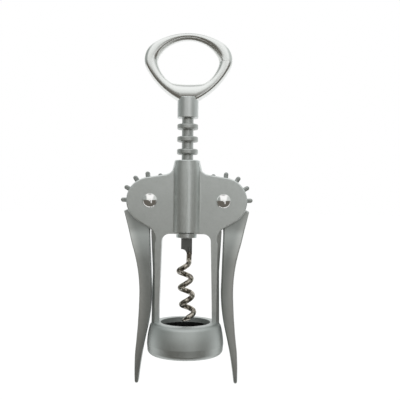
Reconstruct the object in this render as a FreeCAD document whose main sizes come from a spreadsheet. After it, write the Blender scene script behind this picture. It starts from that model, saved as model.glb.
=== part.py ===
import FreeCAD, Part
import math
import os
import re
import Sketcher

# A wing corkscrew in millimetres, upright. The Z axis is the spindle's axis, Z is 0 at the bell's
# mouth, X runs across the wings and the front faces -Y.

DRIVING_SIZES = {
    # Bell that sits on the bottle
    "bell_height": 15.8,
    "bell_mouth_radius": 17.8,
    "bell_belly_radius": 19.55,
    "bell_belly_height": 5.0,
    "bell_foot_radius": 19.3,
    "bell_foot_height": 2.5,
    "bell_shoulder_radius": 18.3,
    "bell_shoulder_height": 13.6,
    "bell_rim_radius": 16.0,
    "bell_lower_bulge": 0.45,
    "bell_upper_bulge": 0.25,
    "bell_shoulder_bulge": 0.55,
    "bell_top_thickness": 2.5,
    "throat_radius": 12.75,
    "cavity_radius": 17.3,
    # Plastic ring in the bell
    "bottle_bore_radius": 15.25,
    "ring_clearance": 0.05,
    "ring_lip_radius": 13.2,
    "ring_lip_thickness": 1.5,
    # Wings, the plates that hold the levers
    "pivot_spacing": 37.5,
    "pivot_height": 77.7,
    "plate_half_depth": 4.1,
    "slot_half_width": 2.3,
    "wing_end_radius": 12.0,
    "wing_lower_slope": 31.0,
    "wing_upper_slope": 9.0,
    "wing_flare_radius": 6.0,
    "wing_flare_start": 6.0,
    "rib_flare_bulge": 1.0,
    "rib_flare_height": 57.0,
    "slot_clearance": 0.4,
    "leg_front_step": 0.9,
    "plate_edge_rounding": 0.6,
    # Legs and the window between them
    "window_top": 60.9,
    "window_half_width_top": 12.5,
    "window_half_width_bottom": 13.6,
    "window_corner_radius": 4.0,
    "rib_width_top": 3.4,
    "rib_width_bottom": 1.9,
    "leg_outer_top": 18.2,
    "leg_outer_middle": 16.9,
    "leg_outer_bottom": 17.3,
    "leg_middle_height": 42.0,
    "leg_top_height": 66.0,
    "leg_outer_half_depth": 1.7,
    # Boss round the rack
    "boss_radius": 7.6,
    "boss_bottom": 61.7,
    "boss_top": 98.5,
    "boss_top_radius": 6.6,
    "boss_taper_start": 93.5,
    "boss_rounding": 0.8,
    "boss_blend": 1.2,
    "bore_radius": 5.5,
    # Pivot rivets
    "rivet_radius": 2.5,
    "rivet_clearance": 0.05,
    "rivet_head_radius": 3.7,
    "rivet_head_height": 1.7,
    # Rack of round discs
    "rack_pitch": 6.38,
    "rack_disc_radius": 5.35,
    "rack_disc_thickness": 2.8,
    "rack_disc_rounding": 0.7,
    "rack_top_disc_height": 115.6,
    "rack_core_radius": 2.95,
    "rack_bore_clearance": 0.05,
    "rack_end_gap": 0.15,
    # Spindle, collars and handle neck
    "rod_radius": 1.75,
    "rod_in_ring": 4.5,
    "collar_radius": 5.4,
    "collar_bottom": 120.0,
    "collar_length": 10.7,
    "collar_edge": 0.5,
    "end_collar_radius": 5.3,
    "end_collar_bottom": 58.8,
    "end_collar_height": 2.6,
    "end_collar_edge": 0.4,
    "hub_radius": 3.4,
    "hub_top": 67.8,
    "hub_pin_radius": 0.8,
    "hub_pin_height": 62.8,
    # Handle ring
    "ring_top": 163.3,
    "ring_depth": 8.3,
    "ring_top_radius": 34.5,
    "ring_top_angle": 30.5,
    "ring_side_radius": 10.2,
    "ring_side_angle": 119.0,
    "ring_lower_radius": 40.0,
    "ring_neck_x": 3.0,
    "opening_top": 160.2,
    "opening_top_radius": 17.4,
    "opening_top_angle": 58.0,
    "opening_side_radius": 6.0,
    "opening_side_angle": 108.0,
    "opening_lower_radius": 18.0,
    "opening_floor": 138.2,
    "opening_corner_radius": 3.0,
    "ring_edge_rounding": 1.3,
    "lip_recess_radius": 19.4,
    "lip_recess_top": 160.7,
    "lip_recess_depth": 3.4,
    "lip_notch_height": 149.6,
    # Levers, drawn closed about their own pivot
    "gear_root_radius": 11.3,
    "gear_tip_radius": 14.9,
    "gear_tooth_width": 2.25,
    "gear_tooth_crown": 0.95,
    "gear_teeth_per_turn": 13.0,
    "gear_tooth_count": 8.0,
    "gear_half_thickness": 2.05,
    "gear_overlap": 1.0,
    "left_backlash_angle": 0.0,
    "right_backlash_angle": 0.8,
    "mesh_gap": 5.5,
    "mesh_tooth": 6.0,
    "mesh_lead_angle": 0.6,
    "arm_inner_x": 18.6,
    "arm_inner_height": 60.0,
    "arm_shoulder_x": 32.0,
    "arm_shoulder_height": 72.4,
    "arm_shoulder_rise": 1.2,
    "arm_waist_outer_x": 23.55,
    "arm_waist_height": 29.0,
    "arm_upper_outer_x": 27.5,
    "arm_upper_height": 55.0,
    "arm_waist_bulge": 1.1,
    "arm_lower_outer_x": 25.4,
    "arm_lower_height": 1.0,
    "arm_lower_bulge": 0.35,
    "arm_tip_height": -14.4,
    "arm_tip_outer_x": 25.5,
    "arm_tip_inner_x": 23.6,
    "arm_tip_round": 0.9,
    "arm_outer_tip_bulge": 0.2,
    "arm_inner_waist_x": 17.35,
    "arm_inner_waist_height": 32.0,
    "arm_bell_inner_x": 19.1,
    "arm_bell_height": 13.2,
    "arm_bell_bulge": 0.5,
    "arm_inner_tip_bulge": 0.45,
    "arm_swell_start": 63.0,
    "arm_swell_height": 44.0,
    "arm_swell_half_depth": 3.7,
    "arm_swell_bulge": 0.5,
    "arm_tip_half_depth": 2.4,
    # Worm
    "blade_left": 2.65,
    "blade_right": 2.95,
    "blade_thickness": 2.1,
    "blade_bottom": 53.0,
    "blade_notch": 2.6,
    "blade_in_hub": 5.6,
    "wire_radius": 1.35,
    "worm_radius": 2.95,
    "worm_pitch": 8.55,
    "worm_turns": 3.5,
    "worm_lead_in": 0.45,
    "worm_top": 46.2,
    "worm_lean": 5.1,
    "worm_lean_height": 34.3,
    "worm_tip_radius": 0.25,
}

doc = FreeCAD.newDocument("wing_corkscrew")
sizes = doc.addObject("Spreadsheet::Sheet", "Sizes")
for row, (alias, amount) in enumerate(DRIVING_SIZES.items(), start=1):
    sizes.set(f"A{row}", alias)
    sizes.set(f"B{row}", str(amount))
    sizes.setAlias(f"B{row}", alias)
doc.recompute()

WORD = re.compile(r"[a-z][a-z_]*")
SLACK = 0.01


def on_sheet(text):
    """An expression as other objects write it, with the sheet's name before each alias."""
    return WORD.sub(lambda m: f"Sizes.{m.group()}" if m.group() in DRIVING_SIZES else m.group(), text)


def value(text):
    """The present number of an expression on the sheet."""
    found = sizes.evalExpression(text)
    return float(getattr(found, "Value", found))


def bind(item, prop, text):
    """Tie a property to an expression on the sheet."""
    item.setExpression(prop, on_sheet(text))


# Places that several pieces share, as expressions on the sheet
PIVOT_X = "pivot_spacing / 2"
CAVITY_TOP = "(bell_height - bell_top_thickness)"
COLLAR_TOP = "(collar_bottom + collar_length)"
END_COLLAR_TOP = "(end_collar_bottom + end_collar_height)"
RACK_TOP = "(collar_bottom - rack_end_gap)"
RACK_BOTTOM = "(hub_top + rack_end_gap)"
PITCH_RADIUS = "(rack_pitch * gear_teeth_per_turn / 2 / pi)"
TOOTH_STEP = "(360 / gear_teeth_per_turn)"


def new_body(name):
    body = doc.addObject("PartDesign::Body", name)
    body.Label = name
    return body


def plane_of(body, role):
    return next(item for item in body.Origin.OriginFeatures if item.Role == role)


def new_sketch(body, name, role, height=None):
    """A sketch on one of the body's origin planes, raised along its normal if a height is given."""
    sketch = body.newObject("Sketcher::SketchObject", name)
    sketch.AttachmentSupport = [(plane_of(body, role), "")]
    sketch.MapMode = "FlatFace"
    if height is not None:
        bind(sketch, ".AttachmentOffset.Base.z", height)
    return sketch


def negated(text):
    return f"-({text})"


def mirrored(path):
    """A path's points with the first coordinate changed in sign, in reverse order."""
    return [(negated(across), up) for across, up in reversed(path)]


def mirrored_bulges(bulges, count):
    """The bulges of the mirrored half that follows a path of count points."""
    return {2 * count - 2 - index: text for index, text in bulges.items()}


def arc_centre(start, end, bulge):
    """Centre and radius of the arc that bulges to the left of the run from start to end."""
    run = end - start
    half = run.Length / 2
    radius = (half * half + bulge * bulge) / (2 * abs(bulge))
    left = FreeCAD.Vector(-run.y, run.x, 0).normalize()
    offset = (radius - abs(bulge)) * math.copysign(1, bulge)
    return (start + end) / 2 - left * offset, radius


def draw(sketch, points, bulges=None):
    """A closed outline through points, tied to the sheet. bulges gives, by the index of the point
    where a side starts, how far that side bows out to its left; other sides are straight."""
    bulges = bulges or {}
    corners = [FreeCAD.Vector(value(across), value(up), 0) for across, up in points]
    first = sketch.GeometryCount
    ends = []
    for index, start in enumerate(corners):
        end = corners[(index + 1) % len(corners)]
        if index not in bulges:
            sketch.addGeometry(Part.LineSegment(start, end))
            ends.append((1, 2))
            continue
        bulge = value(bulges[index])
        centre, radius = arc_centre(start, end, bulge)
        from_angle = math.atan2(start.y - centre.y, start.x - centre.x)
        to_angle = math.atan2(end.y - centre.y, end.x - centre.x)
        circle = Part.Circle(centre, FreeCAD.Vector(0, 0, 1), radius)
        if bulge > 0:
            sketch.addGeometry(Part.ArcOfCircle(circle, to_angle, from_angle))
            ends.append((2, 1))
        else:
            sketch.addGeometry(Part.ArcOfCircle(circle, from_angle, to_angle))
            ends.append((1, 2))
    for index in range(len(corners)):
        following = (index + 1) % len(corners)
        sketch.addConstraint(Sketcher.Constraint(
            "Coincident", first + index, ends[index][1], first + following, ends[following][0]))
    for index, (across, up) in enumerate(points):
        corner = (first + index, ends[index][0])
        places = (("DistanceX", across, corners[index].x), ("DistanceY", up, corners[index].y))
        for kind, text, amount in places:
            number = sketch.addConstraint(Sketcher.Constraint(kind, -1, 1, *corner, amount))
            bind(sketch, f"Constraints[{number}]", text)
    for index, text in bulges.items():
        start, end = points[index], points[(index + 1) % len(points)]
        chord = f"(({end[0]} - ({start[0]}))^2 + ({end[1]} - ({start[1]}))^2)"
        size = f"abs({chord} / 8 / ({text}) + ({text}) / 2)"
        number = sketch.addConstraint(Sketcher.Constraint("Radius", first + index, value(size)))
        bind(sketch, f"Constraints[{number}]", size)
    return sketch


def draw_circle(sketch, across, up, radius):
    centre = FreeCAD.Vector(value(across), value(up), 0)
    circle = sketch.addGeometry(Part.Circle(centre, FreeCAD.Vector(0, 0, 1), value(radius)))
    for kind, text, amount in (("DistanceX", across, centre.x), ("DistanceY", up, centre.y)):
        number = sketch.addConstraint(Sketcher.Constraint(kind, -1, 1, circle, 3, amount))
        bind(sketch, f"Constraints[{number}]", text)
    number = sketch.addConstraint(Sketcher.Constraint("Radius", circle, value(radius)))
    bind(sketch, f"Constraints[{number}]", radius)
    return sketch


def revolve(body, name, sketch):
    turned = body.newObject("PartDesign::Revolution", name)
    turned.Profile = sketch
    turned.ReferenceAxis = (sketch, ["V_Axis"])
    turned.Angle = 360.0
    return turned


def extrude(body, name, sketch, length, kind="PartDesign::Pad"):
    """A pad or pocket of the sketch, half its length to each side."""
    feature = body.newObject(kind, name)
    feature.Profile = sketch
    feature.SideType = "Symmetric"
    bind(feature, "Length", length)
    return feature


def cut(body, name, sketch, length):
    """A pocket to both sides of the sketch, which has to take something away."""
    doc.recompute()
    before = body.Tip.Shape.Volume
    feature = extrude(body, name, sketch, length, "PartDesign::Pocket")
    doc.recompute()
    if feature.Shape.Volume >= before:
        raise ValueError(f"{name} cuts nothing")
    return feature


def round_edges(body, name, radius, wanted):
    """A fillet on the edges of the body's shape for which wanted(edge) is true."""
    doc.recompute()
    base = body.Tip
    names = [f"Edge{i}" for i, edge in enumerate(base.Shape.Edges, start=1) if wanted(edge)]
    if not names:
        raise ValueError(f"{name} finds no edge")
    fillet = body.newObject("PartDesign::Fillet", name)
    fillet.Base = (base, names)
    bind(fillet, "Radius", radius)
    return fillet


def on_plane(edge, axis, amount, slack=SLACK):
    """Whether the edge lies in the plane where the coordinate named by axis has this amount."""
    low = getattr(edge.BoundBox, f"{axis}Min")
    high = getattr(edge.BoundBox, f"{axis}Max")
    return abs(low - amount) < slack and abs(high - amount) < slack


# Frame casting: bell, legs, wing plates and boss


def add_bell(body):
    outline = [
        ("throat_radius", "bell_height"),
        ("throat_radius", CAVITY_TOP),
        ("cavity_radius", CAVITY_TOP),
        ("cavity_radius", "0"),
        ("bell_mouth_radius", "0"),
        ("bell_foot_radius", "bell_foot_height"),
        ("bell_belly_radius", "bell_belly_height"),
        ("bell_shoulder_radius", "bell_shoulder_height"),
        ("bell_rim_radius", "bell_height"),
    ]
    bulges = {
        4: negated("bell_lower_bulge"),
        6: negated("bell_upper_bulge"),
        7: negated("bell_shoulder_bulge"),
    }
    revolve(body, "bell", draw(new_sketch(body, "bell_outline", "XZ_Plane"), outline, bulges))


def add_wings(body):
    """The arch of wings and front ribs, as one pad across the whole depth."""
    low_angle = "wing_lower_slope * 1deg"
    top_angle = "wing_upper_slope * 1deg"
    top_x = f"({PIVOT_X} + wing_end_radius * sin({top_angle}))"
    top_z = f"(pivot_height + wing_end_radius * cos({top_angle}))"
    flare_x = "(wing_flare_start + wing_flare_radius)"
    flare_z = (
        f"({top_z} + (wing_flare_radius - ({flare_x} - {top_x} ) * sin({top_angle}))"
        f" / cos({top_angle}))"
    )
    rib_x = "(window_half_width_top + rib_width_top)"
    foot_x = "(window_half_width_bottom + rib_width_bottom)"
    foot_z = "(bell_height - bell_top_thickness / 2)"
    low_x = f"({PIVOT_X} + wing_end_radius * sin({low_angle}))"
    low_z = f"(pivot_height - wing_end_radius * cos({low_angle}))"
    corner_x = "(window_half_width_top - window_corner_radius)"
    right = [
        ("wing_flare_start", flare_z),
        (f"{flare_x} - wing_flare_radius * sin({top_angle})",
         f"{flare_z} - wing_flare_radius * cos({top_angle})"),
        (top_x, top_z),
        (f"{PIVOT_X} + wing_end_radius", "pivot_height"),
        (low_x, low_z),
        (PIVOT_X, f"{low_z} - ({low_x} - {PIVOT_X}) * tan({low_angle})"),
        (rib_x, "rib_flare_height"),
        (foot_x, foot_z),
        ("window_half_width_bottom", foot_z),
        ("window_half_width_top", "window_top - window_corner_radius"),
        (corner_x, "window_top"),
    ]
    flare_bulge = f"wing_flare_radius * (1 - cos((90deg - {top_angle}) / 2))"
    upper_bulge = f"wing_end_radius * (1 - cos((90deg - {top_angle}) / 2))"
    lower_bulge = f"wing_end_radius * (1 - cos((90deg - {low_angle}) / 2))"
    corner_bulge = "window_corner_radius * (1 - cos(45deg))"
    bulges = {
        0: negated(flare_bulge),
        2: upper_bulge,
        3: lower_bulge,
        5: negated("rib_flare_bulge"),
        9: negated(corner_bulge),
    }
    bulges.update(mirrored_bulges(bulges, len(right)))
    sketch = draw(new_sketch(body, "wing_outline", "XZ_Plane"), right + mirrored(right), bulges)
    extrude(body, "wings", sketch, "2 * plate_half_depth")


def add_leg(body, side, word):
    """The slanted outer bar of one leg, from the bell's top to behind the wing plates."""
    stations = [
        ("foot", "(bell_height - bell_top_thickness / 2)", "window_half_width_bottom", "rib_width_bottom",
         "leg_outer_bottom"),
        ("middle", "leg_middle_height", "(window_half_width_top + window_half_width_bottom) / 2",
         "(rib_width_top + rib_width_bottom) / 2", "leg_outer_middle"),
        ("top", "leg_top_height", "window_half_width_top", "rib_width_top", "leg_outer_top"),
    ]
    sections = []
    for place, height, inner, width, outer in stations:
        front = [
            (inner, "plate_half_depth - leg_front_step"),
            (f"{inner} + {width} - leg_front_step", "plate_half_depth - leg_front_step"),
            (outer, "leg_outer_half_depth"),
        ]
        outline = front + [(across, negated(up)) for across, up in reversed(front)]
        if side < 0:
            outline = [(negated(across), up) for across, up in outline]
        sections.append(draw(new_sketch(body, f"leg_{word}_{place}", "XY_Plane", height), outline))
    leg = body.newObject("PartDesign::AdditiveLoft", f"leg_{word}")
    leg.Profile = sections[0]
    leg.Sections = sections[1:]
    leg.Ruled = True


def add_boss(body):
    outline = [
        ("0", "boss_bottom"),
        ("boss_radius", "boss_bottom"),
        ("boss_radius", "boss_taper_start"),
        ("boss_top_radius", "boss_top - boss_rounding"),
        ("boss_top_radius - boss_rounding", "boss_top"),
        ("0", "boss_top"),
    ]
    bulges = {3: negated("boss_rounding * (1 - cos(45deg))")}
    revolve(body, "boss", draw(new_sketch(body, "boss_outline", "XZ_Plane"), outline, bulges))


def make_frame():
    body = new_body("frame_casting")
    add_bell(body)
    add_wings(body)
    for side, word in ((1, "right"), (-1, "left")):
        add_leg(body, side, word)
    add_boss(body)
    for side, word in ((1, "right"), (-1, "left")):
        across = PIVOT_X if side > 0 else negated(PIVOT_X)
        reach = "(gear_tip_radius + slot_clearance)"
        far = f"{PIVOT_X} + 2 * wing_end_radius"
        slot = [
            (PIVOT_X, f"pivot_height - {reach}"),
            (PIVOT_X, "window_top - 3 * window_corner_radius"),
            (far, "window_top - 3 * window_corner_radius"),
            (far, f"pivot_height + {reach}"),
            (PIVOT_X, f"pivot_height + {reach}"),
            (f"{PIVOT_X} - {reach}", "pivot_height"),
        ]
        bow = f"{reach} * (1 - cos(45deg))"
        if side < 0:
            slot = [(negated(x), z) for x, z in slot]
        bow = negated(bow) if side > 0 else bow
        sketch = draw(new_sketch(body, f"slot_outline_{word}", "XZ_Plane"), slot, {4: bow, 5: bow})
        cut(body, f"gear_slot_{word}", sketch, "2 * slot_half_width")
        hole = draw_circle(new_sketch(body, f"rivet_hole_outline_{word}", "XZ_Plane"), across, "pivot_height",
                           "rivet_radius")
        cut(body, f"rivet_hole_{word}", hole, "4 * plate_half_depth")
    depth = value("plate_half_depth")
    blend_x = math.sqrt(value("boss_radius") ** 2 - depth ** 2)
    wing_start = value("wing_flare_start + wing_flare_radius")
    low = value("window_top")

    def on_plate(edge):
        return on_plane(edge, "Y", depth) or on_plane(edge, "Y", -depth)

    def is_blend(edge):
        upright = on_plane(edge, "X", blend_x) or on_plane(edge, "X", -blend_x)
        return on_plate(edge) and upright and edge.BoundBox.ZMax < value("boss_taper_start") + SLACK

    def is_wing_edge(edge):
        middle = edge.valueAt((edge.FirstParameter + edge.LastParameter) / 2)
        return on_plate(edge) and abs(middle.x) > wing_start and middle.z > low and not edge.isClosed()

    round_edges(body, "boss_blend", "boss_blend", is_blend)
    round_edges(body, "wing_edges", "plate_edge_rounding", is_wing_edge)
    bore = draw_circle(new_sketch(body, "bore_outline", "XY_Plane", "(boss_bottom + boss_top) / 2"),
                       "0", "0", "bore_radius")
    cut(body, "bore", bore, "2 * (boss_top - boss_bottom)")
    return body


# Plastic ring that centres the bottle


def make_bottle_ring():
    body = new_body("bottle_ring")
    outer = "(cavity_radius - ring_clearance)"
    outline = [
        ("bottle_bore_radius", "0"),
        (outer, "0"),
        (outer, CAVITY_TOP),
        ("ring_lip_radius", CAVITY_TOP),
        ("ring_lip_radius", f"{CAVITY_TOP} - ring_lip_thickness"),
        ("bottle_bore_radius", f"{CAVITY_TOP} - ring_lip_thickness"),
    ]
    revolve(body, "ring", draw(new_sketch(body, "ring_outline", "XZ_Plane"), outline))
    return body


# Rivets, turned about the pivot's own axis


def make_rivet(side, word):
    body = new_body(f"pivot_rivet_{word}")
    dome = "rivet_head_height"
    head = "(plate_half_depth + rivet_head_height)"
    outline = [
        ("0", negated(head)),
        ("0", head),
        ("rivet_head_radius", "plate_half_depth"),
        ("rivet_radius", "plate_half_depth"),
        ("rivet_radius", "-plate_half_depth"),
        ("rivet_head_radius", "-plate_half_depth"),
    ]
    bow = f"(({dome})^2 + rivet_head_radius^2)^0.5 / 2 * tan(atan({dome} / rivet_head_radius) / 2)"
    bulges = {1: bow, 5: bow}
    revolve(body, "rivet", draw(new_sketch(body, "rivet_outline", "XY_Plane"), outline, bulges))
    place_at_pivot(body, side)
    return body


def place_at_pivot(body, side, angle=None):
    bind(body, ".Placement.Base.x", f"{side} * {PIVOT_X}")
    bind(body, ".Placement.Base.z", "pivot_height")
    if angle is not None:
        body.Placement = FreeCAD.Placement(body.Placement.Base, FreeCAD.Rotation(FreeCAD.Vector(0, 1, 0), 1))
        bind(body, ".Placement.Rotation.Angle", angle)


# Levers, drawn closed with the pivot at the origin and the arm on the outer side


def gear_phase():
    """Angle above the outward direction of the last tooth, so that a gap of the rack holds a tooth."""
    gap = "(rack_top_disc_height - rack_pitch * mesh_gap - pivot_height)"
    engaged = f"({gap} / {PITCH_RADIUS} * 180 / pi)"
    return f"(180 - {engaged} - mesh_tooth * {TOOTH_STEP} - mesh_lead_angle)"


def make_lever(side, word):
    body = new_body(f"lever_{word}")
    sign = "" if side > 0 else "-"

    def at(across, height):
        return (f"{sign}({across} - {PIVOT_X})", f"{height} - pivot_height")

    arm = [
        at("arm_inner_x", "pivot_height"),
        at("arm_inner_x", "arm_inner_height"),
        at("arm_inner_waist_x", "arm_inner_waist_height"),
        at("arm_bell_inner_x", "arm_bell_height"),
        at("arm_tip_inner_x", "arm_tip_height"),
        at("arm_tip_outer_x", "arm_tip_height"),
        at("arm_lower_outer_x", "arm_lower_height"),
        at("arm_waist_outer_x", "arm_waist_height"),
        at("arm_upper_outer_x", "arm_upper_height"),
        at("arm_shoulder_x", "arm_shoulder_height"),
        at(f"({PIVOT_X} + gear_root_radius - gear_overlap)", "(arm_shoulder_height + arm_shoulder_rise)"),
    ]
    bulges = {
        2: "-arm_bell_bulge",
        3: "arm_inner_tip_bulge",
        4: "-arm_tip_round",
        5: "-arm_outer_tip_bulge",
        6: "arm_lower_bulge",
        7: "arm_waist_bulge",
    }
    if side < 0:
        bulges = {index: negated(text) for index, text in bulges.items()}
    sketch = draw(new_sketch(body, "arm_outline", "XZ_Plane"), arm, bulges)
    extrude(body, "arm", sketch, "2 * arm_swell_half_depth")
    thin = [
        ("gear_half_thickness", "gear_tip_radius"),
        ("gear_half_thickness", "arm_swell_start - pivot_height"),
        ("arm_swell_half_depth", "arm_swell_height - pivot_height"),
        ("arm_tip_half_depth", "arm_tip_height - 2 * arm_tip_round - pivot_height"),
        ("2 * arm_swell_half_depth", "arm_tip_height - 2 * arm_tip_round - pivot_height"),
        ("2 * arm_swell_half_depth", "gear_tip_radius"),
    ]
    for face, turn in (("front", ""), ("back", "-")):
        outline = [(f"{turn}({depth})", up) for depth, up in thin]
        bow = {1: f"{turn}arm_swell_bulge", 2: f"{turn}arm_swell_bulge"}
        profile = draw(new_sketch(body, f"{face}_taper_outline", "YZ_Plane"), outline, bow)
        cut(body, f"{face}_taper", profile, "8 * gear_tip_radius")
    disc = draw_circle(new_sketch(body, "gear_outline", "XZ_Plane"), "0", "0", "gear_root_radius")
    extrude(body, "gear", disc, "2 * gear_half_thickness")
    half = "gear_tooth_width / 2"
    root = "(gear_root_radius - gear_overlap)"
    crown = "(gear_tip_radius - gear_tooth_crown)"
    tooth = [
        (f"{sign}{root}", negated(half)),
        (f"{sign}{crown}", negated(half)),
        (f"{sign}{crown}", half),
        (f"{sign}{root}", half),
    ]
    crown_bow = "-gear_tooth_crown" if side > 0 else "gear_tooth_crown"
    outline = draw(new_sketch(body, "tooth_outline", "XZ_Plane"), tooth, {1: crown_bow})
    turned = FreeCAD.Rotation(FreeCAD.Vector(0, 0, 1), 1)
    outline.AttachmentOffset = FreeCAD.Placement(FreeCAD.Vector(), turned)
    bind(outline, ".AttachmentOffset.Rotation.Angle", f"{sign}{gear_phase()} * 1deg")
    first = extrude(body, "tooth", outline, "2 * gear_half_thickness")
    doc.recompute()
    teeth = body.newObject("PartDesign::PolarPattern", "teeth")
    teeth.Originals = [first]
    teeth.Axis = (outline, ["N_Axis"])
    teeth.Reversed = side < 0
    bind(teeth, "Angle", f"{TOOTH_STEP} * (gear_tooth_count - 1)")
    bind(teeth, "Occurrences", "gear_tooth_count")
    body.Tip = teeth
    hole = draw_circle(new_sketch(body, "pivot_hole_outline", "XZ_Plane"), "0", "0",
                       "rivet_radius + rivet_clearance")
    cut(body, "pivot_hole", hole, "4 * plate_half_depth")
    place_at_pivot(body, side, f"{-side} * {word}_backlash_angle * 1deg")
    return body


# Rack: a sleeve with round discs, free to turn with the spindle inside it


def make_rack():
    body = new_body("rack_sleeve")
    bore = "(rod_radius + rack_bore_clearance)"
    sleeve = [
        (bore, RACK_BOTTOM),
        ("rack_core_radius", RACK_BOTTOM),
        ("rack_core_radius", RACK_TOP),
        (bore, RACK_TOP),
    ]
    revolve(body, "sleeve", draw(new_sketch(body, "sleeve_outline", "XZ_Plane"), sleeve))
    half = "rack_disc_thickness / 2"
    inner = "(rod_radius + rack_core_radius) / 2"
    edge = "(rack_disc_radius - rack_disc_rounding)"
    low = f"rack_top_disc_height - {half}"
    high = f"rack_top_disc_height + {half}"
    disc = [
        (inner, low),
        (edge, low),
        ("rack_disc_radius", f"{low} + rack_disc_rounding"),
        ("rack_disc_radius", f"{high} - rack_disc_rounding"),
        (edge, high),
        (inner, high),
    ]
    bow = "-rack_disc_rounding * (1 - cos(45deg))"
    sketch = draw(new_sketch(body, "disc_outline", "XZ_Plane"), disc, {1: bow, 3: bow})
    first = revolve(body, "disc", sketch)
    doc.recompute()
    count = math.floor(value(f"(rack_top_disc_height - {RACK_BOTTOM} - {half}) / rack_pitch")) + 1
    discs = body.newObject("PartDesign::LinearPattern", "discs")
    discs.Originals = [first]
    discs.Direction = (sketch, ["V_Axis"])
    discs.Reversed = True
    bind(discs, "Length", f"rack_pitch * {count - 1}")
    discs.Occurrences = count
    body.Tip = discs
    return body


# Spindle and its collars


def make_core_rod():
    rod = doc.addObject("Part::Cylinder", "core_rod")
    rod.Label = "core_rod"
    bind(rod, "Radius", "rod_radius")
    bind(rod, "Height", f"{COLLAR_TOP} + rod_in_ring - end_collar_bottom - blade_in_hub")
    bind(rod, ".Placement.Base.z", "end_collar_bottom + blade_in_hub")
    return rod


def make_handle_collar():
    body = new_body("handle_collar")
    outline = [
        ("rod_radius", "collar_bottom"),
        ("collar_radius - collar_edge", "collar_bottom"),
        ("collar_radius", "collar_bottom + collar_edge"),
        ("collar_radius", f"{COLLAR_TOP} - collar_edge"),
        ("collar_radius - collar_edge", COLLAR_TOP),
        ("rod_radius", COLLAR_TOP),
    ]
    bow = "-collar_edge * (1 - cos(45deg))"
    sketch = draw(new_sketch(body, "collar_outline", "XZ_Plane"), outline, {1: bow, 3: bow})
    revolve(body, "collar", sketch)
    return body


def make_end_collar():
    body = new_body("end_collar")
    outline = [
        ("0", "end_collar_bottom"),
        ("end_collar_radius - end_collar_edge", "end_collar_bottom"),
        ("end_collar_radius", "end_collar_bottom + end_collar_edge"),
        ("end_collar_radius", f"{END_COLLAR_TOP} - end_collar_edge"),
        ("end_collar_radius - end_collar_edge", END_COLLAR_TOP),
        ("hub_radius", END_COLLAR_TOP),
        ("hub_radius", "hub_top"),
        ("rod_radius", "hub_top"),
        ("rod_radius", "end_collar_bottom + blade_in_hub"),
        ("0", "end_collar_bottom + blade_in_hub"),
    ]
    bow = "-end_collar_edge * (1 - cos(45deg))"
    sketch = draw(new_sketch(body, "end_collar_outline", "XZ_Plane"), outline, {1: bow, 3: bow})
    revolve(body, "end_collar_turned", sketch)
    doc.recompute()
    half = "blade_thickness / 2"
    slot = [
        ("-blade_left", negated(half)),
        ("blade_right", negated(half)),
        ("blade_right", half),
        ("-blade_left", half),
    ]
    level = "end_collar_bottom"
    sketch = draw(new_sketch(body, "blade_slot_outline", "XY_Plane", level), slot)
    cut(body, "blade_slot", sketch, "2 * blade_in_hub")
    pin = draw_circle(new_sketch(body, "pin_hole_outline", "XZ_Plane"), "0", "hub_pin_height",
                      "hub_pin_radius")
    cut(body, "pin_hole", pin, "4 * hub_radius")
    return body


def make_worm_pin():
    pin = doc.addObject("Part::Cylinder", "worm_pin")
    pin.Label = "worm_pin"
    bind(pin, "Radius", "hub_pin_radius")
    bind(pin, "Height", "2 * hub_radius")
    pin.Placement.Rotation = FreeCAD.Rotation(FreeCAD.Vector(1, 0, 0), 90)
    bind(pin, ".Placement.Base.y", "hub_radius")
    bind(pin, ".Placement.Base.z", "hub_pin_height")
    return pin


# Worm: a wire of steady pitch under a flat blade, leaning a little as in use


STATIONS_PER_TURN = 4
SAMPLES_PER_ARC = 12
LEAST_COIL_GAP = 0.4


def arc_through(start, tangent, end):
    """The arc that leaves start along tangent and reaches end."""
    chord = end - start
    along = FreeCAD.Vector(chord).normalize()
    across = tangent - along * tangent.dot(along)
    half_turn = math.atan2(across.Length, tangent.dot(along))
    middle = (start + end) / 2 + across.normalize() * (chord.Length / 2 * math.tan(half_turn / 2))
    return Part.Arc(start, middle, end).toShape()


def biarc(start, leave, end, arrive):
    """Two arcs, tangent where they meet, from start along leave to end along arrive."""
    run = end - start
    both = leave + arrive
    square = 2 * (1 - leave.dot(arrive))
    reach = (math.sqrt(run.dot(both) ** 2 + square * run.dot(run)) - run.dot(both)) / square
    from_start = start + leave * reach
    from_end = end - arrive * reach
    joint = (from_start + from_end) / 2
    first = arc_through(start, leave, joint)
    second = arc_through(end, arrive * -1, joint)
    return [first, second]


def worm_point(turn, radius, pitch, top, lean, lean_height):
    """Place and downward direction on the worm's line after a number of turns from its top."""
    angle = -2 * math.pi * turn
    height = top - pitch * turn
    spot = FreeCAD.Vector(radius * math.cos(angle), radius * math.sin(angle), height - lean_height)
    step = 2 * math.pi * radius
    heading = FreeCAD.Vector(step * math.sin(angle), -step * math.cos(angle), -pitch)
    turned = FreeCAD.Rotation(FreeCAD.Vector(0, 1, 0), -lean)
    return turned.multVec(spot) + FreeCAD.Vector(0, 0, lean_height), turned.multVec(heading).normalize()


def least_gap(edges, wire, apart):
    """The least gap between two stretches of a wire that lie further apart along it than a length."""
    spots = []
    run = 0.0
    for edge in edges:
        reach = edge.LastParameter - edge.FirstParameter
        for step in range(SAMPLES_PER_ARC):
            share = step / SAMPLES_PER_ARC
            spots.append((run + edge.Length * share, edge.valueAt(edge.FirstParameter + reach * share)))
        run += edge.Length
    gaps = [
        spot.distanceToPoint(other) - 2 * wire
        for index, (place, spot) in enumerate(spots)
        for other_place, other in spots[index + 1:]
        if other_place - place > apart
    ]
    return min(gaps)


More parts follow.
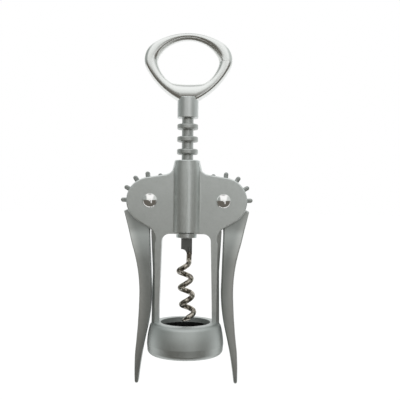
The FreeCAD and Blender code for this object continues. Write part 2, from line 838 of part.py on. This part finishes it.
def make_worm():
    wire = value("wire_radius")
    radius = value("worm_radius")
    lean = value("worm_lean")
    rest = (value("worm_pitch"), value("worm_top"), lean, value("worm_lean_height"))
    steps = round(STATIONS_PER_TURN * value("worm_turns"))
    stations = [worm_point(0, radius - value("worm_lead_in"), *rest)]
    stations += [worm_point(step / STATIONS_PER_TURN, radius, *rest) for step in range(1, steps + 1)]
    down = FreeCAD.Vector(0, 0, -1)
    blade_low = value("blade_bottom")
    root = FreeCAD.Vector(value("blade_right") - wire, 0, blade_low)
    path = []
    stations.insert(0, (root, down))
    for (start, leave), (end, arrive) in zip(stations, stations[1:]):
        path += biarc(start, leave, end, arrive)
    half_turn = math.pi * radius
    gap = least_gap(path, wire, half_turn)
    print(f"worm: {steps} stations, wire radius {wire}, least gap to itself {gap:.2f}")
    if gap < LEAST_COIL_GAP:
        raise ValueError("the worm's turns come too close to each other")
    straight = Part.LineSegment(root + FreeCAD.Vector(0, 0, wire), root).toShape()
    body_path = Part.Wire([straight] + path[:-2])
    round_wire = Part.Circle(body_path.Vertexes[0].Point, down, wire).toShape()
    tube = body_path.makePipeShell([Part.Wire(round_wire)], True, False)
    point, heading = stations[-1]
    start, leave = stations[-2]
    tip_path = Part.Wire(path[-2:])
    thick = Part.Wire(Part.Circle(start, leave, wire).toShape())
    thin = Part.Wire(Part.Circle(point, heading, value("worm_tip_radius")).toShape())
    tip = tip_path.makePipeShell([thick, thin], True, False)
    blade_top = value("end_collar_bottom") + value("blade_in_hub")
    left = -value("blade_left")
    right = value("blade_right")
    thickness = value("blade_thickness")
    corner = FreeCAD.Vector(left, 0, blade_low)
    wire_left = FreeCAD.Vector(right - 2 * wire, 0, blade_low - value("blade_notch"))
    wire_right = FreeCAD.Vector(right, 0, wire_left.z)
    top_right = FreeCAD.Vector(right, 0, blade_top)
    top_left = FreeCAD.Vector(left, 0, blade_top)
    runs = [(wire_left, wire_right), (wire_right, top_right), (top_right, top_left), (top_left, corner)]
    outline = [Part.LineSegment(start, end).toShape() for start, end in runs]
    outline.append(arc_through(wire_left, FreeCAD.Vector(0, 0, 1), corner))
    blade = Part.Face(Part.Wire(Part.sortEdges(outline)[0])).extrude(FreeCAD.Vector(0, thickness, 0))
    blade.translate(FreeCAD.Vector(0, -thickness / 2, 0))
    hole = Part.makeCylinder(value("hub_pin_radius"), 2 * thickness,
                             FreeCAD.Vector(0, thickness, value("hub_pin_height")), FreeCAD.Vector(0, -1, 0))
    worm = doc.addObject("Part::Feature", "worm")
    worm.Label = "worm"
    worm.Shape = blade.cut(hole).fuse([tube, tip]).removeSplitter()
    return worm


# Handle ring, whose opening is a bottle opener


def bow(radius, turn):
    """How far an arc of this radius and turn stands out from its chord."""
    return f"{radius} * (1 - cos(({turn}) / 2))"


def arc_point(centre, radius, angle):
    """The point of a circle at an angle measured from straight up, towards +X."""
    across, up = centre
    return (f"({across} + {radius} * sin({angle}))", f"({up} + {radius} * cos({angle}))")


def ring_outline():
    """Right half of the ring's outside: top, side and lower arcs, each tangent to the next."""
    first = "(ring_top_angle * 1deg)"
    second = "(ring_side_angle * 1deg)"
    top = ("0", "(ring_top - ring_top_radius)")
    side = arc_point(top, "(ring_top_radius - ring_side_radius)", first)
    lower = arc_point(side, "(ring_side_radius - ring_lower_radius)", second)
    neck_up = f"({lower[1]} - (ring_lower_radius^2 - (ring_neck_x - {lower[0]})^2)^0.5)"
    last = f"(180deg - asin((ring_neck_x - {lower[0]}) / ring_lower_radius))"
    points = [
        arc_point(top, "ring_top_radius", first),
        arc_point(side, "ring_side_radius", second),
        ("ring_neck_x", neck_up),
    ]
    bulges = {
        0: bow("ring_side_radius", f"{second} - {first}"),
        1: bow("ring_lower_radius", f"{last} - {second}"),
    }
    bulges.update(mirrored_bulges(bulges, len(points)))
    bulges[2 * len(points) - 1] = bow("ring_top_radius", f"2 * {first}")
    return points + mirrored(points), bulges, neck_up


def opening_outline():
    """The opening: top, side and lower arcs and a rounded corner down to its flat floor."""
    first = "(opening_top_angle * 1deg)"
    second = "(opening_side_angle * 1deg)"
    top = ("0", "(opening_top - opening_top_radius)")
    side = arc_point(top, "(opening_top_radius - opening_side_radius)", first)
    lower = arc_point(side, "(opening_side_radius - opening_lower_radius)", second)
    reach = "(opening_lower_radius - opening_corner_radius)"
    fall = f"({lower[1]} - opening_floor - opening_corner_radius)"
    third = f"(90deg + asin({fall} / {reach}))"
    points = [
        arc_point(top, "opening_top_radius", first),
        arc_point(side, "opening_side_radius", second),
        arc_point(lower, "opening_lower_radius", third),
        (f"({lower[0]} + {reach} * sin({third}))", "opening_floor"),
    ]
    bulges = {
        0: bow("opening_side_radius", f"{second} - {first}"),
        1: bow("opening_lower_radius", f"{third} - {second}"),
        2: bow("opening_corner_radius", f"180deg - {third}"),
    }
    bulges.update(mirrored_bulges(bulges, len(points)))
    bulges[2 * len(points) - 1] = bow("opening_top_radius", f"2 * {first}")
    return points + mirrored(points), bulges


def make_handle_ring():
    body = new_body("handle_ring")
    points, bulges, neck = ring_outline()
    extrude(body, "ring", draw(new_sketch(body, "ring_outline", "XZ_Plane"), points, bulges), "ring_depth")
    points, bulges = opening_outline()
    sketch = draw(new_sketch(body, "opening_outline", "XZ_Plane"), points, bulges)
    cut(body, "opening", sketch, "2 * ring_depth")
    half_depth = value("ring_depth / 2")
    round_edges(body, "ring_rounding", "ring_edge_rounding",
                lambda edge: on_plane(edge, "Y", half_depth) or on_plane(edge, "Y", -half_depth))
    seat = draw_circle(new_sketch(body, "collar_seat_outline", "XY_Plane", neck), "0", "0", "collar_radius")
    cut(body, "collar_seat", seat, f"2 * ({COLLAR_TOP} - {neck})")
    hole = draw_circle(new_sketch(body, "rod_hole_outline", "XY_Plane", COLLAR_TOP), "0", "0", "rod_radius")
    cut(body, "rod_hole", hole, "2 * rod_in_ring")
    rise = "(lip_recess_radius - lip_recess_top + lip_notch_height)"
    notch_x = f"((lip_recess_radius^2 - {rise}^2)^0.5)"
    notches = [(notch_x, "lip_notch_height"), (negated(notch_x), "lip_notch_height")]
    sketch = new_sketch(body, "lip_recess_outline", "XZ_Plane", "ring_depth / 2")
    draw(sketch, notches, {1: "lip_recess_top - lip_notch_height"})
    cut(body, "lip_recess", sketch, "2 * lip_recess_depth")
    return body


def main():
    nodes = [make_frame(), make_bottle_ring()]
    for side, word in ((-1, "left"), (1, "right")):
        nodes += [make_rivet(side, word), make_lever(side, word)]
    nodes += [
        make_rack(),
        make_core_rod(),
        make_handle_collar(),
        make_end_collar(),
        make_worm(),
        make_worm_pin(),
        make_handle_ring(),
    ]
    doc.recompute()
    for item in doc.Objects:
        if "Invalid" in item.State or "Error" in item.State:
            raise ValueError(f"{item.Label} failed: {item.State}")
    for node in nodes:
        if node.Shape.isNull() or not node.Shape.isValid():
            raise ValueError(f"{node.Label} has no valid shape")
    os.makedirs("parts", exist_ok=True)
    for node in nodes:
        node.Shape.exportStep(f"parts/{node.Label}.step")
        print(node.Label, round(node.Shape.Volume, 1), len(node.Shape.Solids))


main()
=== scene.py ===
import math

import bmesh
import bpy
from mathutils import Matrix, Vector


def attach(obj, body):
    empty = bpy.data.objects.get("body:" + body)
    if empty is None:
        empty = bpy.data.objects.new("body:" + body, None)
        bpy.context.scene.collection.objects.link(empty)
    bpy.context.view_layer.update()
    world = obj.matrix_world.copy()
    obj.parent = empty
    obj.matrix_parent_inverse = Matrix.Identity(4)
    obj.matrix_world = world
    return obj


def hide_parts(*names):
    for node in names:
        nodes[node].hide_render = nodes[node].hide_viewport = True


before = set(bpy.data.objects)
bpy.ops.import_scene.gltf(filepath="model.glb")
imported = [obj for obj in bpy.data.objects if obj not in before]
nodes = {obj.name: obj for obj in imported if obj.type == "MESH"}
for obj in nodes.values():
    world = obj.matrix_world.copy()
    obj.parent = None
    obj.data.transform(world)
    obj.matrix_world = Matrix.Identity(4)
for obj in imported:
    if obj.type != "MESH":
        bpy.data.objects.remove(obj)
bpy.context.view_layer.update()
MM = 0.001


# Shader maths


class Shade:
    """A socket of a shader tree that takes part in ordinary Python sums."""

    def __init__(self, maker, socket):
        self.maker = maker
        self.socket = socket

    def combine(self, operation, other, swap=False):
        pair = (other, self) if swap else (self, other)
        return self.maker.node("ShaderNodeMath", {"operation": operation}, {0: pair[0], 1: pair[1]})

    def __add__(self, other):
        return self.combine("ADD", other)

    __radd__ = __add__

    def __sub__(self, other):
        return self.combine("SUBTRACT", other)

    def __rsub__(self, other):
        return self.combine("SUBTRACT", other, swap=True)

    def __mul__(self, other):
        return self.combine("MULTIPLY", other)

    __rmul__ = __mul__

    def __pow__(self, other):
        return self.combine("POWER", other)

    def clamped(self):
        return self.maker.node("ShaderNodeClamp", {}, {0: self})

    def step(self, low, high):
        """0 below low and 1 above high, smooth between. low may be the larger."""
        settings = {"interpolation_type": "SMOOTHSTEP"}
        return self.maker.node("ShaderNodeMapRange", settings, {0: self, 1: low, 2: high})


class Tree:
    """Adds nodes to a shader tree."""

    def __init__(self, tree):
        self.tree = tree

    def node(self, kind, settings, values, output=0):
        made = self.tree.nodes.new(kind)
        for key, setting in settings.items():
            setattr(made, key, setting)
        for key, given in values.items():
            self.feed(made.inputs[key], given)
        return Shade(self, made.outputs[output])

    def feed(self, target, given):
        if isinstance(given, Shade):
            self.tree.links.new(given.socket, target)
        else:
            target.default_value = given

    def blend(self, share, first, second):
        return self.node("ShaderNodeMix", {"data_type": "RGBA"}, {0: share, 6: first, 7: second}, 2)


class Finish(Tree):
    """A procedural material made node by node on one Principled shader."""

    def __init__(self, name):
        self.material = bpy.data.materials.new(name)
        self.material.use_nodes = True
        super().__init__(self.material.node_tree)
        self.shader = self.tree.nodes["Principled BSDF"]

    def set(self, **values):
        for key, given in values.items():
            self.feed(self.shader.inputs[key.replace("_", " ").title()], given)

    def place(self, scale=(1.0, 1.0, 1.0)):
        """Object coordinates, stretched by a factor along each axis."""
        here = self.node("ShaderNodeTexCoord", {}, {}, "Object")
        return self.node("ShaderNodeMapping", {}, {"Vector": here, "Scale": scale})

    def noise(self, where, scale, detail=4.0, roughness=0.55):
        values = {"Vector": where, "Scale": scale, "Detail": detail, "Roughness": roughness}
        return self.node("ShaderNodeTexNoise", {}, values)

    def bump(self, height, distance):
        return self.node("ShaderNodeBump", {}, {"Height": height, "Distance": distance})


def colour(red, green, blue):
    return (red, green, blue, 1.0)


def metal(name, dark, light, rough, grain=(1.0, 1.0, 1.0), grit=0.012, spread=0.05):
    """Metal with a cloudy tone, a fine grit and a roughness that wanders a little. Lengths in mm."""
    finish = Finish(name)
    cloud = finish.noise(finish.place(), 90.0, 3.0)
    wear = finish.noise(finish.place(grain), 900.0, 5.0, 0.65)
    fine = finish.noise(finish.place(grain), 3200.0, 3.0, 0.6)
    tone = (cloud * 0.9 + wear * 0.9 - 0.4).clamped()
    finish.set(
        base_color=finish.blend(tone, colour(*dark), colour(*light)),
        metallic=1.0,
        roughness=(wear * (4 * spread) + (rough - 2 * spread)).clamped(),
        normal=finish.bump(fine, grit * MM),
    )
    return finish.material


def plastic(name, dark, light, rough):
    finish = Finish(name)
    cloud = finish.noise(finish.place(), 300.0, 4.0)
    fine = finish.noise(finish.place(), 2500.0, 3.0)
    finish.set(
        base_color=finish.blend(cloud, colour(*dark), colour(*light)),
        roughness=(cloud * 0.12 + (rough - 0.06)).clamped(),
        normal=finish.bump(fine, 0.006 * MM),
    )
    return finish.material


def dress(node, material):
    """Gives a CAD node its finished material in every slot."""
    for slot in nodes[node].material_slots:
        slot.material = material


# Pieces that stand for CAD nodes


def new_piece(name, shape, body, node, material):
    """A shown piece that stands for one CAD node and moves with its body."""
    mesh = bpy.data.meshes.new(name)
    shape.to_mesh(mesh)
    shape.free()
    piece = bpy.data.objects.new(name, mesh)
    bpy.context.scene.collection.objects.link(piece)
    mesh.materials.append(material)
    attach(piece, body)
    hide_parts(node)
    return piece


def smooth(piece, angle):
    for face in piece.data.polygons:
        face.use_smooth = True
    piece.data.set_sharp_from_angle(angle=math.radians(angle))


def rounded(node, body, width, material):
    """A copy of a CAD node whose sharp edges are rounded off."""
    shape = bmesh.new()
    shape.from_mesh(nodes[node].data)
    bmesh.ops.remove_doubles(shape, verts=shape.verts, dist=0.01 * MM)
    bmesh.ops.dissolve_limit(shape, angle_limit=math.radians(1.0), verts=shape.verts, edges=shape.edges)
    piece = new_piece(f"{node}_rounded", shape, body, node, material)
    edge = piece.modifiers.new("rounding", "BEVEL")
    edge.limit_method = "ANGLE"
    edge.angle_limit = math.radians(28.0)
    edge.width = width * MM
    edge.segments = 3
    smooth(piece, 35.0)
    return piece


# Handle ring: a crowned band whose opening's upper front edge is cut back behind a lip

RING_TOP = 163.3
RING_HALF_DEPTH = 4.15
OPENING_TOP = 160.2
OPENING_FLOOR = 138.2
FLOOR_SAG = 1.0
RECESS_RADIUS = 19.4
RECESS_TOP = 160.9
NOTCH_FACING = 91.0
LIP_FRONT = -0.75
CROWN_POWER = 3.0
SHARED_TURN = math.radians(75.0)


def arcs_point(top, spans, facing):
    """The point of an outline of tangent arcs (radius and last facing of each, in degrees) that
    faces a direction measured from straight up."""
    centre = Vector((0.0, top - spans[0][0]))
    for (radius, stop), following in zip(spans, spans[1:] + (None,)):
        if facing <= stop or following is None:
            break
        turn = math.radians(stop)
        centre += Vector((math.sin(turn), math.cos(turn))) * (radius - following[0])
    turn = math.radians(facing)
    return centre + Vector((math.sin(turn), math.cos(turn))) * radius


def ring_outside(facing):
    """Outer point of the ring's right half. Its foot runs down into the collar."""
    spans = ((34.5, 30.5), (10.2, 119.0), (40.0, 180.0))
    last = 155.0
    if facing <= last:
        return arcs_point(RING_TOP, spans, facing)
    foot = arcs_point(RING_TOP, spans, last)
    return Vector((foot.x * (180.0 - facing) / (180.0 - last), foot.y))


def ring_inside(facing):
    """Inner point of the ring's right half, with the opening's sagging floor."""
    spans = ((17.4, 58.0), (6.0, 108.0), (18.0, 180.0))
    last = 138.0
    if facing <= last:
        return arcs_point(OPENING_TOP, spans, facing)
    corner = arcs_point(OPENING_TOP, spans, last)
    share = (180.0 - facing) / (180.0 - last)
    across = corner.x * share
    floor = OPENING_FLOOR - FLOOR_SAG * (1 - share * share)
    settle = min(1.0, (1 - share) / 0.28)
    settle = math.sin(settle * math.pi / 2)
    return Vector((across, corner.y + (floor - corner.y) * settle))


def recess_share(inner, outward, side, facing):
    """How far the front's edge is cut back from the lip at this place."""
    if facing > NOTCH_FACING:
        return 0.0
    centre = Vector((0.0, RECESS_TOP - RECESS_RADIUS))
    start = inner - centre
    along = start.dot(outward)
    reach = -along + math.sqrt(max(0.0, along * along + RECESS_RADIUS**2 - start.length_squared))
    if side < 0:
        fade = min(1.0, max(0.0, (88.0 - facing) / 45.0))
        reach *= fade * fade * (3 - 2 * fade)
    return max(0.0, reach)


def crown(turn):
    """Place on the band's section: across it from -1 to 1, and its depth as a share of the half."""
    across = math.copysign(abs(math.cos(turn)) ** (2 / CROWN_POWER), math.cos(turn))
    depth = math.copysign(abs(math.sin(turn)) ** (2 / CROWN_POWER), math.sin(turn))
    return across, -depth * RING_HALF_DEPTH


def ring_section(outer, inner, reach):
    """Points round the band's section, from its outer edge over the front to the lip and the back."""
    half = (outer - inner).length / 2
    lip_turn = math.pi - math.asin((abs(LIP_FRONT) / RING_HALF_DEPTH) ** (CROWN_POWER / 2))
    lip_across = crown(lip_turn)[0]
    edge_across = min(0.2, max(lip_across, reach / half - 1))
    edge_cosine = math.copysign(abs(edge_across) ** (CROWN_POWER / 2), edge_across)
    edge_turn = math.acos(max(-1.0, min(1.0, edge_cosine)))
    points = [crown(SHARED_TURN * step / 9) for step in range(9)]
    points += [crown(SHARED_TURN + (edge_turn - SHARED_TURN) * step / 5) for step in range(6)]
    top = points[-1][1]
    points += [(edge_across, top + (LIP_FRONT - top) * share) for share in (0.08, 0.92, 1.0)]
    points += [(edge_across + (lip_across - edge_across) * share, LIP_FRONT) for share in (0.15, 0.85, 1.0)]
    points += [crown(lip_turn + (2 * math.pi - lip_turn) * step / 22) for step in range(1, 22)]
    middle = (outer + inner) / 2
    along = (outer - inner).normalized()
    return [
        ((middle.x + along.x * across * half) * MM, depth * MM, (middle.y + along.y * across * half) * MM)
        for across, depth in points
    ]


def make_ring(material):
    facings = [2.0 * step for step in range(45)]
    facings += [NOTCH_FACING, NOTCH_FACING + 0.8]
    facings += [93.0 + 2.0 * step for step in range(43)] + [180.0]
    right = [(1, facing) for facing in facings]
    left = [(-1, facing) for facing in reversed(facings[1:-1])]
    shape = bmesh.new()
    loops = []
    for side, facing in right + left:
        outer = ring_outside(facing)
        inner = ring_inside(facing)
        reach = recess_share(inner, (outer - inner).normalized(), side, facing)
        section = ring_section(outer, inner, reach)
        loops.append([shape.verts.new((side * x, y, z)) for x, y, z in section])
    for loop, following in zip(loops, loops[1:] + loops[:1]):
        for index, vert in enumerate(loop):
            ahead = (index + 1) % len(loop)
            shape.faces.new((vert, loop[ahead], following[ahead], following[index]))
    bmesh.ops.remove_doubles(shape, verts=shape.verts, dist=0.002 * MM)
    bmesh.ops.dissolve_degenerate(shape, dist=0.001 * MM, edges=shape.edges)
    bmesh.ops.recalc_face_normals(shape, faces=shape.faces)
    piece = new_piece("handle_ring_crowned", shape, "handle", "handle_ring", material)
    smooth(piece, 40.0)


BOSS_SLANT_START = 93.5 * MM
BOSS_SLANT_LIFT = 0.238
BELL_BAND = (24.0 * MM, 20.0 * MM)
BOSS_EDGE = (8.2 * MM, 7.4 * MM)


def casting_finish():
    """Satin casting. The bell band is painted darker as shade and is a little rougher, and the boss's
    slanted top takes the light like its side.
    """
    finish = Finish("satin_casting")
    here = finish.place()
    cloud = finish.noise(here, 90.0, 3.0)
    wear = finish.noise(here, 900.0, 5.0, 0.65)
    fine = finish.noise(here, 3200.0, 3.0, 0.6)
    parts = finish.tree.nodes.new("ShaderNodeSeparateXYZ")
    finish.feed(parts.inputs[0], here)
    across, depth, height = (Shade(finish, socket) for socket in parts.outputs)
    reach = (across * across + depth * depth) ** 0.5
    slant = (height - BOSS_SLANT_START).combine("MAXIMUM", 0.0) * reach.step(8.8 * MM, 7.6 * MM)
    # the bell band mask carries painted shade (a darker colour) and a rougher finish
    bell_shade_and_rough = height.step(*BELL_BAND)
    streaks = finish.noise(finish.place((1.0, 1.0, 0.03)), 1100.0, 3.0, 0.6) - 0.5
    streaks = streaks * reach.step(*BOSS_EDGE) * 1.6
    tone = (cloud * 0.9 + wear * 0.9 - 0.4 + streaks).clamped()
    plated = finish.blend(tone, colour(0.67, 0.71, 0.69), colour(0.79, 0.825, 0.81))
    # painted shade: a darker copy of the casting colour for the bell band
    bell_shade_colour = finish.blend(tone, colour(0.5, 0.53, 0.515), colour(0.6, 0.635, 0.62))
    level = finish.bump(slant, BOSS_SLANT_LIFT)
    grain = finish.node("ShaderNodeBump", {}, {"Height": fine, "Distance": 0.006 * MM, "Normal": level})
    finish.set(
        base_color=finish.blend(bell_shade_and_rough, plated, bell_shade_colour),
        metallic=1.0,
        roughness=(wear * 0.2 + 0.27 + bell_shade_and_rough * 0.12).clamped(),
        normal=grain,
    )
    return finish.material


def lever_finish():
    """Satin lever with painted sheen: its colour is painted brighter towards its outer edge."""
    finish = Finish("satin_lever")
    here = finish.place()
    cloud = finish.noise(here, 90.0, 3.0)
    wear = finish.noise(here, 900.0, 5.0, 0.65)
    parts = finish.tree.nodes.new("ShaderNodeSeparateXYZ")
    finish.feed(parts.inputs[0], here)
    across, height = Shade(finish, parts.outputs[0]), Shade(finish, parts.outputs[2])
    rise = height - 25.0 * MM
    edge = rise * rise * 4.5 + 23.5 * MM
    # painted sheen: a brighter colour towards the outer edge stands in for light falling there
    painted_edge_sheen = (across.combine("ABSOLUTE", 0.0) - edge).step(-5.0 * MM, -0.3 * MM)
    tone = (cloud * 0.9 + wear * 0.9 - 0.4).clamped()
    plain = finish.blend(tone, colour(0.38, 0.405, 0.39), colour(0.46, 0.485, 0.47))
    # the brighter copy of the lever colour used for the painted sheen
    bright = finish.blend(tone, colour(0.6, 0.62, 0.6), colour(0.7, 0.72, 0.7))
    finish.set(
        base_color=finish.blend(painted_edge_sheen, plain, bright),
        metallic=1.0,
        roughness=(wear * 0.2 + 0.3).clamped(),
        normal=finish.bump(finish.noise(here, 3200.0, 3.0, 0.6), 0.006 * MM),
    )
    return finish.material


def ring_finish():
    """Half-bright plating, smooth under a very faint cloud."""
    finish = Finish("bright_ring")
    cloud = finish.noise(finish.place(), 60.0, 2.0)
    finish.set(
        base_color=finish.blend(cloud, colour(0.82, 0.84, 0.82), colour(0.9, 0.915, 0.9)),
        metallic=1.0,
        roughness=(cloud * 0.06 + 0.2).clamped(),
    )
    return finish.material


BLADE_END = (52.5 * MM, 50.5 * MM)


def worm_finish():
    """Bright wire with brown streaks under a dark flat blade."""
    finish = Finish("worm_steel")
    here = finish.place()
    streaks = finish.noise(finish.place((1.0, 1.0, 0.5)), 700.0, 4.0, 0.6)
    fine = finish.noise(here, 3200.0, 3.0)
    parts = finish.tree.nodes.new("ShaderNodeSeparateXYZ")
    finish.feed(parts.inputs[0], here)
    height = Shade(finish, parts.outputs[2])
    wire = height.step(*BLADE_END)
    bright = streaks.step(0.38, 0.62)
    steel = finish.blend(bright, colour(0.07, 0.06, 0.045), colour(0.55, 0.51, 0.44))
    finish.set(
        base_color=finish.blend(wire, colour(0.21, 0.218, 0.21), steel),
        metallic=1.0,
        roughness=(0.34 - wire * 0.2 + streaks * 0.05).clamped(),
        normal=finish.bump(fine, 0.008 * MM),
    )
    return finish.material


def dress_all():
    dress("frame_casting", casting_finish())
    lever = lever_finish()
    rounded("lever_left", "lever_left", 0.7, lever)
    rounded("lever_right", "lever_right", 0.7, lever)
    make_ring(ring_finish())
    brushed = (1.0, 1.0, 0.04)
    collar = metal("brushed_collar", (0.62, 0.65, 0.64), (0.86, 0.885, 0.875), 0.36, brushed, 0.01)
    dress("handle_collar", collar)
    dress("end_collar", metal("bright_collar", (0.62, 0.65, 0.64), (0.76, 0.79, 0.78), 0.34, grit=0.006))
    dress("rack_sleeve", metal("rough_rack", (0.44, 0.465, 0.45), (0.68, 0.7, 0.68), 0.42, grit=0.02))
    dress("core_rod", metal("drawn_rod", (0.45, 0.45, 0.45), (0.56, 0.56, 0.56), 0.3, brushed))
    dress("worm_pin", metal("pin_steel", (0.45, 0.45, 0.45), (0.56, 0.56, 0.56), 0.3))
    dress("worm", worm_finish())
    chrome = metal("rivet_chrome", (0.93, 0.925, 0.91), (0.97, 0.965, 0.955), 0.06, grit=0.001, spread=0.02)
    dress("pivot_rivet_left", chrome)
    dress("pivot_rivet_right", chrome)
    dress("bottle_ring", plastic("black_plastic", (0.01, 0.011, 0.01), (0.022, 0.023, 0.022), 0.18))


# Studio: pale floor, white surroundings, soft lamps and the camera

CAMERA_PLACE = (6.73 * MM, -328.0 * MM, 78.25 * MM)
CAMERA_ROLL = 0.69
FIELD_WIDTH = 205.2 * MM
SENSOR_WIDTH = 36.0
FLOOR_HEIGHT = -60.0 * MM
FLOOR_HALF_WIDTH = 3.0
FLOOR_SHIFT_BACK = 2.97


def make_camera():
    data = bpy.data.cameras.new("view")
    data.sensor_width = SENSOR_WIDTH
    data.lens = SENSOR_WIDTH * -CAMERA_PLACE[1] / FIELD_WIDTH
    data.clip_start = 0.01
    camera = bpy.data.objects.new("view", data)
    turn = Matrix.Rotation(math.radians(90), 4, "X") @ Matrix.Rotation(math.radians(CAMERA_ROLL), 4, "Z")
    camera.matrix_world = Matrix.Translation(CAMERA_PLACE) @ turn
    bpy.context.scene.collection.objects.link(camera)
    bpy.context.scene.camera = camera


def make_floor():
    """Pale floor under and behind the object. It shows near white and keeps a faint shadow."""
    mesh = bpy.data.meshes.new("floor")
    sheet = bmesh.new()
    bmesh.ops.create_grid(sheet, x_segments=1, y_segments=1, size=FLOOR_HALF_WIDTH)
    bmesh.ops.translate(sheet, vec=(0, FLOOR_SHIFT_BACK, FLOOR_HEIGHT), verts=sheet.verts)
    sheet.to_mesh(mesh)
    sheet.free()
    floor = bpy.data.objects.new("floor", mesh)
    bpy.context.scene.collection.objects.link(floor)
    finish = Finish("pale_floor")
    path = finish.tree.nodes.new("ShaderNodeLightPath")
    kinds = ("Is Glossy Ray", "Is Transmission Ray", "Is Camera Ray")
    glossy, through, camera = (Shade(finish, path.outputs[kind]) for kind in kinds)
    seen = camera * 0.9 + (glossy + through) * 0.5
    glow = finish.node("ShaderNodeEmission", {}, {"Color": colour(1, 1, 1), "Strength": 1.08})
    grain = finish.noise(finish.place(), 40.0)
    paper = finish.blend(grain, colour(0.88, 0.88, 0.88), colour(0.92, 0.92, 0.92))
    finish.set(base_color=paper, roughness=0.8)
    mixed = finish.tree.nodes.new("ShaderNodeMixShader")
    finish.feed(mixed.inputs[0], seen.clamped())
    finish.tree.links.new(finish.shader.outputs[0], mixed.inputs[1])
    finish.tree.links.new(glow.socket, mixed.inputs[2])
    finish.tree.links.new(mixed.outputs[0], finish.tree.nodes["Material Output"].inputs[0])
    mesh.materials.append(finish.material)


def make_world():
    """White to the camera. The object also sees grey side walls, a dim low front and a bright strip."""
    world = bpy.data.worlds.new("studio")
    world.use_nodes = True
    bpy.context.scene.world = world
    sky = Tree(world.node_tree)
    way = sky.tree.nodes.new("ShaderNodeTexCoord")
    parts = sky.tree.nodes.new("ShaderNodeSeparateXYZ")
    sky.tree.links.new(way.outputs["Generated"], parts.inputs[0])
    across, back, up = (Shade(sky, socket) for socket in parts.outputs)
    front = (back * -1.0).step(-0.2, 0.3)
    low = up.step(0.17, 0.03)
    zenith = up.step(0.88, 0.99)
    path = sky.tree.nodes.new("ShaderNodeLightPath")
    hidden = 1.0 - Shade(sky, path.outputs["Is Camera Ray"])
    sides = (across * across).step(0.2, 0.55) * back.step(0.85, 0.5)
    haze = front * up.step(0.6, 0.25) * hidden
    veil = sky.blend(haze.clamped(), colour(1, 1, 1), colour(0.9, 0.91, 0.9))
    wall = sky.blend(across.step(-0.2, 0.2), colour(0.34, 0.36, 0.35), colour(0.6, 0.62, 0.61))
    walls = sky.blend((sides * hidden).clamped(), veil, wall)
    dim = sky.blend((front * low * hidden).clamped(), walls, colour(0.13, 0.12, 0.105))
    tone = sky.blend((zenith * hidden * 0.7).clamped(), dim, colour(0.3, 0.3, 0.3))
    glint = across.step(0.12, 0.26) * across.step(0.46, 0.32) * back.step(0.0, -0.2) * up.step(-0.6, -0.4)
    tone = sky.blend((glint * hidden * 0.85).clamped(), tone, colour(1, 1, 1))
    behind = sky.tree.nodes["Background"]
    sky.feed(behind.inputs["Color"], tone)
    behind.inputs["Strength"].default_value = 1.0


def make_lamp(name, place, target, size, power):
    data = bpy.data.lights.new(name, "AREA")
    data.shape = "RECTANGLE"
    data.size, data.size_y = size
    data.energy = power
    lamp = bpy.data.objects.new(name, data)
    aim = (Vector(target) - Vector(place)).to_track_quat("-Z", "Y")
    lamp.matrix_world = Matrix.Translation(place) @ aim.to_matrix().to_4x4()
    lamp.visible_glossy = False
    bpy.context.scene.collection.objects.link(lamp)


dress_all()
make_camera()
make_floor()
make_world()
make_lamp("soft_left", (-0.75, -0.45, 0.2), (0, 0, 0.08), (0.6, 0.6), 0.45)
make_lamp("soft_top", (0.05, -0.35, 0.75), (0, 0, 0.08), (0.6, 0.5), 0.7)
bpy.context.scene.view_settings.view_transform = "Standard"
